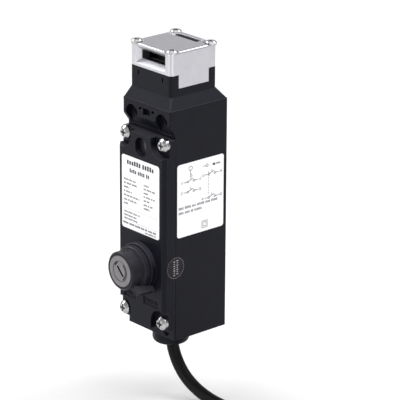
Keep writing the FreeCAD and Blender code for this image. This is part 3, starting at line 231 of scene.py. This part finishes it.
# Pressed and sintered cams and lever: dull dark grey, slightly porous.
sinteredSteel = {"name": "sinteredSteel", "colour": "#67686b", "shade": "#58595c",
                 "roughness": 0.5, "metallic": 1.0, "mottle": 1.6, "grain": 0.18,
                 "relief": 0.02, "strength": 0.6}
# Drawn spring wire: smooth grey with a narrow highlight.
springWire = {"name": "drawnSpringWire", "colour": "#b0b1b5", "shade": "#97989c",
              "roughness": 0.3, "metallic": 1.0, "mottle": 1.2, "grain": 0.12,
              "relief": 0.006, "strength": 0.3}
# Folded zinc plated sheet: even satin grey.
sheetSteel = {"name": "zincPlatedSheet", "colour": "#b9babb", "shade": "#a4a6a6",
              "roughness": 0.34, "metallic": 1.0, "mottle": 2.5, "grain": 0.2,
              "relief": 0.01, "strength": 0.3}
# Moulded nitrile: deep matt black that gives almost no highlight.
sealRubber = {"name": "nitrileRubber", "colour": "#161618", "shade": "#101012",
              "roughness": 0.72, "mottle": 4.0, "grain": 0.25, "relief": 0.02,
              "strength": 0.4, "extra": {"Specular IOR Level": 0.2}}
# Black nylon behind the slots, made darker still as painted shade so that the openings read as
# deep.
innerNylon = {"name": "blackInnerNylon", "colour": "#141416", "shade": "#0f0f11",
              "roughness": 0.5, "mottle": 6.0, "grain": 0.3, "relief": 0.02, "strength": 0.3,
              "extra": {"Specular IOR Level": 0.15}}
# Uncoloured nylon: milky cream that lets a little light in.
naturalNylon = {"name": "naturalNylon", "colour": "#dfdccf", "shade": "#d3cfbf",
                "roughness": 0.42, "mottle": 5.0, "grain": 0.3, "relief": 0.015,
                "strength": 0.3, "extra": {"Subsurface Weight": 0.15,
                                           "Subsurface Scale": 0.0008}}
# Stamped brass: warm yellow with a soft shine.
contactBrass = {"name": "stampedBrass", "colour": "#d9b566", "shade": "#c29a4c",
                "roughness": 0.28, "metallic": 1.0, "mottle": 2.0, "grain": 0.15,
                "relief": 0.006, "strength": 0.3}
# Solder resist over glass fibre: glossy green, slightly mottled.
solderResist = {"name": "greenSolderResist", "colour": "#1f6b3c", "shade": "#1a5a33",
                "roughness": 0.3, "mottle": 1.6, "grain": 0.3, "relief": 0.02,
                "strength": 0.4}
# Enamelled copper laid turn on turn: red brown, ribbed up its height.
windingWire = {"name": "enamelledCopperWinding", "colour": "#b0623a", "shade": "#8d4726",
               "roughness": 0.28, "metallic": 1.0, "mottle": 2.0, "grain": 0.25,
               "relief": 0.08, "strength": 0.8, "stretch": (0.2, 0.2, 1)}
# Cast lamp resin: clear amber gloss.
lampResin = {"name": "amberLampEpoxy", "colour": "#e08a2c", "shade": "#d27a20",
             "roughness": 0.15, "mottle": 2.0, "grain": 0.4, "relief": 0.005,
             "strength": 0.2, "extra": {"Transmission Weight": 0.3}}
# Smoked polycarbonate over a dark well: nearly black from outside, with a wet gloss.
smokedLens = {"name": "smokedPolycarbonate", "colour": "#2b2a30", "shade": "#232228",
              "roughness": 0.16, "mottle": 3.0, "grain": 0.8, "relief": 0.003,
              "strength": 0.2, "ior": 1.58}
# Soft PVC drawn through a die: dull black with a faint, uneven sheen.
cableSheathing = {"name": "extrudedPvcSheath", "colour": "#131313", "shade": "#0e0e0f",
                  "roughness": 0.46, "mottle": 5.0, "grain": 0.3, "relief": 0.015,
                  "strength": 0.35, "extra": {"Specular IOR Level": 0.1}}
# Injection moulded ties: smooth black, glossier than the sheath below them.
tieNylon = {"name": "blackTieNylon", "colour": "#222225", "shade": "#1b1b1e",
            "roughness": 0.32, "mottle": 3.0, "grain": 0.4, "relief": 0.01, "strength": 0.3}
# White polyester film: clean and bright, with a thin satin coat.
labelFilm = {"name": "whitePolyesterFilm", "colour": "#f6f6f8", "shade": "#f2f2f4",
             "roughness": 0.38, "mottle": 12.0, "grain": 0.4, "relief": 0.004,
             "strength": 0.2, "extra": {"Coat Weight": 0.15, "Coat Roughness": 0.3}}
# Brittle dark film: a faint satin disc that only its print gives away.
sealFilm = {"name": "darkDestructibleFilm", "colour": "#1c1b21", "shade": "#17161b",
            "roughness": 0.34, "mottle": 3.0, "grain": 0.3, "relief": 0.006,
            "strength": 0.3, "extra": {"Specular IOR Level": 0.18}}
# Thermal print: soft black, flat on the film. The same black is the painted shade in the grooves
# and the gap of the key plug.
printAndShadeInk = {"name": "blackPrintAndPaintedShade", "colour": "#2b2b2d", "shade": "#1e1e20",
            "roughness": 0.42, "mottle": 1.2, "grain": 0.3, "relief": 0.004, "strength": 0.2}
# Transfer print: pale grey with a breath of pink.
greyInk = {"name": "greyTransferPrint", "colour": "#b4abb0", "shade": "#9f969b",
           "roughness": 0.45, "mottle": 1.2, "grain": 0.3, "relief": 0.004, "strength": 0.2}

finishOfSlot = {
    "case_plastic": casePlastic, "knob_plastic": knobNylon, "head_metal": castNickel,
    "zinc_steel": zincPlate, "satin_metal": turnedSteel, "bright_steel": groundSteel,
    "sintered_steel": sinteredSteel, "spring_steel": springWire, "yoke_steel": sheetSteel,
    "seal_rubber": sealRubber, "inner_plastic": innerNylon, "carrier_plastic": naturalNylon,
    "bobbin_nylon": naturalNylon, "contact_brass": contactBrass, "board_green": solderResist,
    "winding_copper": windingWire, "lamp_resin": lampResin, "smoked_lens": smokedLens,
    "cable_jacket": cableSheathing, "tie_nylon": tieNylon, "core_pvc": cableSheathing,
    "label_film": labelFilm, "seal_film": sealFilm}
materialOfSlot = {}
made = {}
for slotName, recipe in finishOfSlot.items():
    if recipe["name"] not in made:
        made[recipe["name"]] = surfaceFinish(recipe)
    materialOfSlot[slotName] = made[recipe["name"]]
printAndShadeBlack = surfaceFinish(printAndShadeInk)
inkGrey = surfaceFinish(greyInk)

for part in frame["record"]["subparts"]:
    thing = nodes[part["node"]]
    finish = materialOfSlot[part["material_slot"]]
    for seat in thing.material_slots:
        seat.material = finish
    if not thing.material_slots:
        thing.data.materials.append(finish)
print("materials made:", len(made) + 2)


def addPiece(name, mesh, body, finish):
    piece = bpy.data.objects.new(name, mesh)
    bpy.context.scene.collection.objects.link(piece)
    mesh.materials.append(finish)
    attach(piece, body)


cable = {
    "diameter": 6.2,
    "route": [(0, -20.8, 6.4), (0, -20.8, -7.5), (4.6, -20.8, -18.5), (13, -20.8, -26.2),
              (25.5, -20.8, -30.3), (41, -20.9, -31.2), (52, -17.9, -31.2),
              (62.6, -12.6, -31)],
    "centre": (93, -42), "radius": 32, "level": -26.8, "turns": 4.33, "pointsPerTurn": 24,
    "start": 120,  # degrees: where round its centre the coil begins
    "moveAt": 0.022, "moveFor": 0.16,  # shares of a turn: where each move to a new seat is
    "climbOut": 2.5, "climbUp": 4.4,  # how far the last turn swings out and over as it climbs
    "lastTurn": 4, "order": 3, "resolution": 8, "bevelResolution": 5, "declared": 0.975,
}


def coilPoints(settings):
    # Clockwise turns in a bundle of four. The first comes in from one diameter further out.
    # Each keeps its seat round the bundle's middle, 45 degrees below it on the outside for the
    # first, and swings a quarter round that middle as the next one begins. The fifth climbs in
    # a parabola and lies on top.
    count = int(settings["turns"] * settings["pointsPerTurn"])
    turn = np.arange(count + 1) / settings["pointsPerTurn"]
    whole = np.floor(turn)
    part = np.clip((turn - whole - settings["moveAt"]) / settings["moveFor"], 0, 1)
    swing = part * part * (3 - 2 * part)
    seat = -math.pi / 4 - math.pi / 2 * np.maximum(whole - 1 + swing, 0)
    reach = settings["diameter"] / math.sqrt(2)
    radius = settings["radius"] + reach * np.cos(seat)
    radius += np.where(whole == 0, settings["diameter"] * (1 - swing), 0)
    level = settings["level"] + reach * np.sin(seat)
    half = settings["diameter"] / 2
    outside, above = settings["radius"] + half, settings["level"] + half
    middle, top = settings["radius"], above + half * math.sqrt(3)
    bend = ((1 - part) ** 2, 2 * part * (1 - part), part ** 2)
    last = whole == settings["lastTurn"]
    swungOut, swungUp = outside + settings["climbOut"], top + settings["climbUp"]
    radius = np.where(last, bend[0] * outside + bend[1] * swungOut + bend[2] * middle, radius)
    level = np.where(last, bend[0] * above + bend[1] * swungUp + bend[2] * top, level)
    angle = math.radians(settings["start"]) - turn * 2 * math.pi
    across, forward = settings["centre"]
    return np.column_stack((across + radius * np.cos(angle), forward + radius * np.sin(angle),
                            level))


def makeCable(settings):
    spots = inFrame(np.vstack((settings["route"], coilPoints(settings))))
    curve = bpy.data.curves.new("cableSheath", "CURVE")
    curve.dimensions = "3D"
    spline = curve.splines.new("NURBS")
    spline.points.add(len(spots) - 1)
    spline.points.foreach_set("co", np.column_stack((spots, np.ones(len(spots)))).ravel())
    spline.order_u = settings["order"]
    spline.use_endpoint_u = True
    spline.resolution_u = settings["resolution"]
    curve.bevel_depth = settings["diameter"] / 2 * mm
    curve.bevel_resolution = settings["bevelResolution"]
    curve.use_fill_caps = True
    curve.materials.append(materialOfSlot["cable_jacket"])
    sheath = bpy.data.objects.new("cableSheath", curve)
    bpy.context.scene.collection.objects.link(sheath)
    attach(sheath, "switch_body")
    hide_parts("cable", "cable_coil", "cable_tail")


makeCable(cable)
print("cable laid")


def bar(left, low, right, high):
    # Flat marks are laid out as quads in millimetres on their own plane, across and up, and
    # every quad becomes a thin closed plate.
    return [[(left, low), (right, low), (right, high), (left, high)]]


def line(start, end, width):
    # A straight stroke: the two ends, each moved half the width to either side.
    start, end = np.array(start, float), np.array(end, float)
    along = (end - start) / np.linalg.norm(end - start)
    side = np.array((-along[1], along[0])) * width / 2
    return [[start - side, end - side, end + side, start + side]]


def ringMark(centre, radius, width, first=0.0, last=360.0, pieces=16, filled=1.0):
    # An arc as a row of quads between two circles, each "filled" of its share long.
    edges = np.radians(np.linspace(first, last, pieces + 1))
    step = (edges[1] - edges[0]) * filled
    inner, outer = radius - width / 2, radius + width / 2
    quads = []
    for edge in edges[:-1]:
        corner = np.array((edge, edge, edge + step, edge + step))
        reach = np.array((inner, outer, outer, inner))
        quads.append(np.column_stack((centre[0] + reach * np.cos(corner),
                                      centre[1] + reach * np.sin(corner))))
    return quads


def drawing(strokes, left, low, width):
    # A symbol from its strokes, each a line (start, end) or a ring (centre, radius, pieces),
    # moved right by "left" and up by "low".
    quads = []
    for stroke in strokes:
        first = np.array(stroke[0], float) + (left, low)
        if len(stroke) == 2:
            quads += line(first, np.array(stroke[1], float) + (left, low), width)
        else:
            quads += ringMark(first, stroke[1], width, pieces=stroke[2])
    return quads


# Groups of 2 to 6 ticks, each from 75% to 100% of the height, and two gaps more between groups.
tickRule = {"fewest": 2, "most": 6, "shortest": 0.75, "groupGaps": 2}


def ticks(left, middle, length, height, width, gap, seed):
    # A line of plain upright ticks in uneven groups, as a printed line looks from afar.
    chance = np.random.default_rng(seed)
    quads = []
    across = left
    while across + width < left + length:
        for _ in range(int(chance.integers(tickRule["fewest"], tickRule["most"] + 1))):
            if across + width > left + length:
                break
            tall = height * (tickRule["shortest"] + (1 - tickRule["shortest"]) * chance.random())
            quads += bar(across, middle - height / 2, across + width, middle - height / 2 + tall)
            across += width + gap
        across += tickRule["groupGaps"] * gap
    return quads


def plates(name, quads, origin, right, up, thick):
    # Each quad twice, on the plane and "thick" above it, with four sides between: eight corners
    # to a plate.
    flat = np.array(quads, float).reshape(-1, 4, 2)
    right, up = np.array(right, float), np.array(up, float)
    out = np.cross(right, up)
    low = np.array(origin, float) + flat[..., :1] * right + flat[..., 1:] * up
    solid = np.concatenate((low, low + out * thick), axis=1).reshape(-1, 3)
    first = 8 * np.arange(len(flat))[:, None, None]
    faces = np.array(((3, 2, 1, 0), (4, 5, 6, 7), (0, 1, 5, 4), (1, 2, 6, 5), (2, 3, 7, 6),
                      (3, 0, 4, 7)))
    mesh = bpy.data.meshes.new(name)
    mesh.from_pydata(inFrame(solid).tolist(), [], (faces + first).reshape(-1, 4).tolist())
    return mesh


# Each header row: left, middle, length, height, width of a tick, gap.
frontPrint = {
    "corner": (-13.9, -40.52, 53.2), "thick": 0.03, "width": 0.42, "gap": 0.22,
    "header": ((3.9, 34.4, 19.8, 2.5, 1.25, 0.5), (5.9, 30.3, 16.0, 2.1, 0.9, 0.42)),
    "rowHeight": 0.95, "rowSeed": 20,
    "leftRows": (25.2, 23.2, 21.1, 19.0, 16.9, 14.7, 12.7), "leftStart": 1.5,
    "leftLengths": (9.6, 10.4, 4.6, 5.8, 11.8, 9.6, 3.6),
    "rightRows": (25.3, 23.4, 21.4, 19.5, 17.5, 15.4, 13.5), "rightStart": 16.4,
    "rightLengths": (4.2, 8.4, 4.0, 8.6, 4.2, 7.0, 5.2),
    "lowRows": (8.5, 6.7, 5.0), "lowLengths": (11.8, 9.2, 9.8), "lowStart": 1.9,
    "lowHeight": 0.9, "lowSeed": 40,
    "rules": ((10.3, 1.5), (4.1, 10.6)), "ruleEnd": 26.0, "dashStep": 0.75, "dash": 0.5,
    "ruleWidth": 0.12,
    "foot": (1.0, 2.7, 25.4, 1.1, 0.55, 0.25), "last": (17.6, 1.1, 8.4, 0.8), "footSeed": 50,
}


def makeFrontPrint(settings):
    width, gap = settings["width"], settings["gap"]
    quads = []
    for seed, row in enumerate(settings["header"]):
        quads += ticks(*row, seed)
    for column in ("left", "right"):
        rows = zip(settings[column + "Rows"], settings[column + "Lengths"])
        for seed, (middle, length) in enumerate(rows, settings["rowSeed"]):
            quads += ticks(settings[column + "Start"], middle, length, settings["rowHeight"],
                           width, gap, seed)
    for middle, length in zip(settings["lowRows"], settings["lowLengths"]):
        quads += ticks(settings["lowStart"], middle, length, settings["lowHeight"], width, gap,
                       settings["lowSeed"])
    half = settings["ruleWidth"] / 2
    for level, left in settings["rules"]:
        for start in np.arange(left, settings["ruleEnd"], settings["dashStep"]):
            quads += bar(start, level - half, start + settings["dash"], level + half)
    quads += ticks(*settings["foot"], settings["footSeed"])
    quads += ticks(*settings["last"], width, gap, settings["footSeed"] + 1)
    mesh = plates("frontLabelPrint", quads, settings["corner"], (1, 0, 0), (0, 0, 1),
                  settings["thick"])
    addPiece("frontLabelPrint", mesh, "switch_body", printAndShadeBlack)


makeFrontPrint(frontPrint)

# Each contact: left, level and its two terminal numbers. The strokes of "contact", "key" and
# "lampSign" are lines (start, end) or rings (centre, radius, pieces). Each of "rows" and
# "coilRow": left, middle, length, height, width, gap and seed.
sidePrint = {
    "corner": (17.62, -32.2, 53.2), "thick": 0.03, "stroke": 0.3, "thinStroke": 0.24,
    "contacts": ((3.0, 27.6, "11", "12"), (3.0, 22.4, "21", "22"),
                 (16.6, 28.6, "33", "34"), (16.6, 16.6, "41", "42")),
    "contactStart": 1.2,
    # Two leads, two ring terminals and a bridge bar over them.
    "contact": (((0, 0), (2.0, 0)), ((2.5, 0), 0.5, 12), ((2.9, 0.3), (6.0, 1.3)),
                ((6.3, 0), 0.5, 12), ((6.8, 0), (8.8, 0)), ((4.4, 1.0), (4.4, 2.2))),
    # A key: a bow, a shank and two bits.
    "key": (((8.4, 34.2), 1.1, 16), ((8.4, 33.1), (8.4, 29.9)), ((8.4, 30.1), (9.7, 30.1)),
            ((8.4, 31.1), (9.4, 31.1))),
    "linkAcross": 19.9, "linkFrom": 18.6, "linkTo": 30.0, "linkStep": 1.5, "linkDash": 0.9,
    "coilBox": (22.6, 32.6, 24.3, 33.7), "coilRow": (25.0, 33.2, 2.4, 1.0, 0.42, 0.22, 61),
    "lampSign": (((19.0, 33.4), 0.7, 14), ((16.4, 33.4), (18.2, 33.4))),
    "rows": ((1.0, 14.9, 25.4, 1.35, 0.46, 0.34, 62), (1.0, 12.5, 15.2, 1.35, 0.46, 0.34, 63)),
    "squareCentre": (17.6, 3.6), "squareHalves": (1.75, 1.0),
    "digitSize": 1.9, "digitResolution": 2,
    "digitsLeft": -1.0, "digitsRight": 10.4, "digitsDown": 0.6,
}


def textPolygons(words, settings):
    # Plain digits from the built-in face, taken as flat polygons.
    letters = bpy.data.curves.new("digits", "FONT")
    letters.body = words
    letters.size = settings["digitSize"]
    letters.resolution_u = settings["digitResolution"]
    holder = bpy.data.objects.new("digits", letters)
    bpy.context.scene.collection.objects.link(holder)
    bpy.context.view_layer.update()
    flat = bpy.data.meshes.new_from_object(
        holder.evaluated_get(bpy.context.evaluated_depsgraph_get()))
    spots = np.empty(len(flat.vertices) * 3)
    flat.vertices.foreach_get("co", spots)
    polygons = [tuple(face.vertices) for face in flat.polygons]
    bpy.data.objects.remove(holder)
    bpy.data.meshes.remove(flat)
    return spots.reshape(-1, 3)[:, :2], polygons


def makeSidePrint(settings):
    stroke, thin = settings["stroke"], settings["thinStroke"]
    quads = []
    for left, level, _, _ in settings["contacts"]:
        quads += drawing(settings["contact"], left + settings["contactStart"], level, stroke)
    quads += drawing(settings["key"], 0, 0, stroke)
    for level in np.arange(settings["linkFrom"], settings["linkTo"], settings["linkStep"]):
        across = settings["linkAcross"]
        quads += line((across, level), (across, level + settings["linkDash"]), thin)
    quads += bar(*settings["coilBox"]) + ticks(*settings["coilRow"])
    quads += drawing(settings["lampSign"], 0, 0, stroke)
    for row in settings["rows"]:
        quads += ticks(*row)
    for half in settings["squareHalves"]:
        ring = [(-half, -half), (half, -half), (half, half), (-half, half)]
        quads += drawing(tuple(zip(ring, ring[1:] + ring[:1])), *settings["squareCentre"], thin)
    mesh = plates("sideLabelPrint", quads, settings["corner"], (0, 1, 0), (0, 0, 1),
                  settings["thick"])
    addPiece("sideLabelPrint", mesh, "switch_body", printAndShadeBlack)


def makeSideDigits(settings):
    # Terminal numbers, each at its own place on the label, every polygon a thin closed prism.
    points, faces = [], []
    start = 0
    for left, level, first, second in settings["contacts"]:
        for words, side in ((first, "digitsLeft"), (second, "digitsRight")):
            flat, polygons = textPolygons(words, settings)
            flat = flat + (left + settings[side], level - settings["digitsDown"])
            for polygon in polygons:
                count = len(polygon)
                outline = flat[list(polygon)]
                for rise in (0.0, settings["thick"]):
                    points.append(np.column_stack((np.full(count, rise), outline))
                                  + np.array(settings["corner"]))
                low = start + np.arange(count)
                high = low + count
                faces.append(low[::-1].tolist())
                faces.append(high.tolist())
                faces += np.column_stack((low, np.roll(low, -1), np.roll(high, -1),
                                          high)).tolist()
                start += 2 * count
    mesh = bpy.data.meshes.new("sideLabelDigits")
    mesh.from_pydata(inFrame(np.vstack(points)).tolist(), [], faces)
    addPiece("sideLabelDigits", mesh, "switch_body", printAndShadeBlack)


makeSidePrint(sidePrint)
makeSideDigits(sidePrint)

# Each column: across, lowest and highest tick.
sealPrint = {
    "centre": (17.6, -33.1, 38.3), "thick": 0.03,
    "radius": 5.25, "ringWidth": 0.13, "ringPieces": 30, "ringFilled": 0.45,
    "columns": ((-0.9, -3.6, 3.4), (1.1, -3.2, 3.6)), "perColumn": 7,
    "tickLengths": (1.1, 0.7, 1.2, 0.9), "tickHeight": 0.4,
}


def makeSealPrint(settings):
    # A broken ring and two columns of short ticks.
    quads = ringMark((0, 0), settings["radius"], settings["ringWidth"],
                     pieces=settings["ringPieces"], filled=settings["ringFilled"])
    lengths, half = settings["tickLengths"], settings["tickHeight"] / 2
    for column, low, high in settings["columns"]:
        for number, level in enumerate(np.linspace(low, high, settings["perColumn"])):
            reach = lengths[number % len(lengths)] / 2
            quads += bar(column - reach, level - half, column + reach, level + half)
    mesh = plates("sealPrint", quads, settings["centre"], (0, 1, 0), (0, 0, 1),
                  settings["thick"])
    addPiece("sealPrint", mesh, "switch_body", inkGrey)


makeSealPrint(sealPrint)

# Each panel: left, middle and length of its row of ticks.
panelMarks = {"face": -39.9, "panels": ((-11.6, 19.3, 7.2), (3.0, 19.3, 8.8)), "rise": 0.3,
              "height": 1.9, "width": 0.4, "gap": 0.5, "seed": 70}


def makePanelMarks(settings):
    # Raised ticks in the two sunk panels of the cover.
    quads = []
    for seed, row in enumerate(settings["panels"], settings["seed"]):
        quads += ticks(*row, settings["height"], settings["width"], settings["gap"], seed)
    mesh = plates("panelMarks", quads, (0, settings["face"], 0), (1, 0, 0), (0, 0, 1),
                  settings["rise"])
    addPiece("panelMarks", mesh, "switch_body", materialOfSlot["case_plastic"])


makePanelMarks(panelMarks)

# Each arc: radius, width, first and last degree, anticlockwise from the right.
plugGrooveShade = {
    "face": -53.4, "axisHeight": 36.6, "thick": 0.03,
    "arcs": ((4.2, 1.25, -52, 62), (4.9, 0.55, 118, 150), (5.12, 0.34, 0, 360)),
    "fewestPieces": 8, "degreesPerPiece": 8,
}


def makePlugGrooveShade(settings):
    # Dark arcs laid on the face of the key plug as painted shade: in the index groove, the stop
    # and the gap round its rim.
    quads = []
    for radius, width, first, last in settings["arcs"]:
        pieces = max(settings["fewestPieces"], (last - first) // settings["degreesPerPiece"])
        quads += ringMark((0, 0), radius, width, first, last, pieces)
    mesh = plates("plugGrooveShade", quads, (0, settings["face"], settings["axisHeight"]),
                  (1, 0, 0), (0, 0, 1), settings["thick"])
    addPiece("plugGrooveShade", mesh, "release_knob", printAndShadeBlack)


makePlugGrooveShade(plugGrooveShade)
print("prints and marks made")

# Floor height in millimetres. Each softbox: place and target in metres, side in metres, watts.
studio = {
    "floor": -91.3, "floorHalf": 4.0, "floorColour": "#fdfdfd", "floorRoughness": 0.8,
    "world": "#fdfdff", "worldStrength": 0.42,
    "softboxes": {
        "topSoftbox": ((0.1, -0.1, 1.6), (0.02, -0.02, 0), 1.3, 7),
        "leftHighSoftbox": ((-1.0, -0.5, 0.95), (0, -0.02, 0.03), 0.7, 8),
        "rightHighSoftbox": ((0.5, 0.9, 1.1), (0, -0.02, 0.03), 0.7, 8),
        "leftLowSoftbox": ((-0.35, -1.3, 0.25), (0, -0.02, 0), 0.5, 4.5),
        "rightLowSoftbox": ((1.35, -0.2, 0.25), (0, -0.02, 0), 0.5, 5),
        "frontSoftbox": ((0.8, -0.95, 0.8), (0, -0.02, 0), 0.3, 1.5),
        "backSoftbox": ((-1.1, 1.0, 0.65), (0, -0.02, 0.05), 0.9, 0.8),
    },
}


def addLight(name, place, target, size, power):
    lamp = bpy.data.lights.new(name, "AREA")
    lamp.shape = "SQUARE"
    lamp.size = size
    lamp.energy = power
    holder = bpy.data.objects.new(name, lamp)
    back = np.array(place, float) - np.array(target, float)
    back /= np.linalg.norm(back)
    side = np.cross((0, 0, 1), back)
    side /= np.linalg.norm(side)
    holder.matrix_world = poseAt((side, np.cross(back, side), back), place)
    bpy.context.scene.collection.objects.link(holder)


def makeStudio(settings):
    half, level = settings["floorHalf"], settings["floor"] * mm
    corners = [(-half, -half, level), (half, -half, level), (half, half, level),
               (-half, half, level)]
    mesh = bpy.data.meshes.new("studioFloor")
    mesh.from_pydata(corners, [], [(0, 1, 2, 3)])
    material, _, shader = startMaterial("paleStudioPaper", settings["floorRoughness"])
    shader.inputs["Base Color"].default_value = hexColour(settings["floorColour"])
    mesh.materials.append(material)
    floor = bpy.data.objects.new("studioFloor", mesh)
    bpy.context.scene.collection.objects.link(floor)
    world = bpy.data.worlds.new("softStudio")
    world.use_nodes = True
    backdrop = world.node_tree.nodes["Background"]
    backdrop.inputs["Color"].default_value = hexColour(settings["world"])
    backdrop.inputs["Strength"].default_value = settings["worldStrength"]
    bpy.context.scene.world = world
    bpy.context.scene.view_settings.view_transform = "Standard"
    for name, (place, target, size, power) in settings["softboxes"].items():
        addLight(name, place, target, size, power)


makeStudio(studio)
print("studio lit")
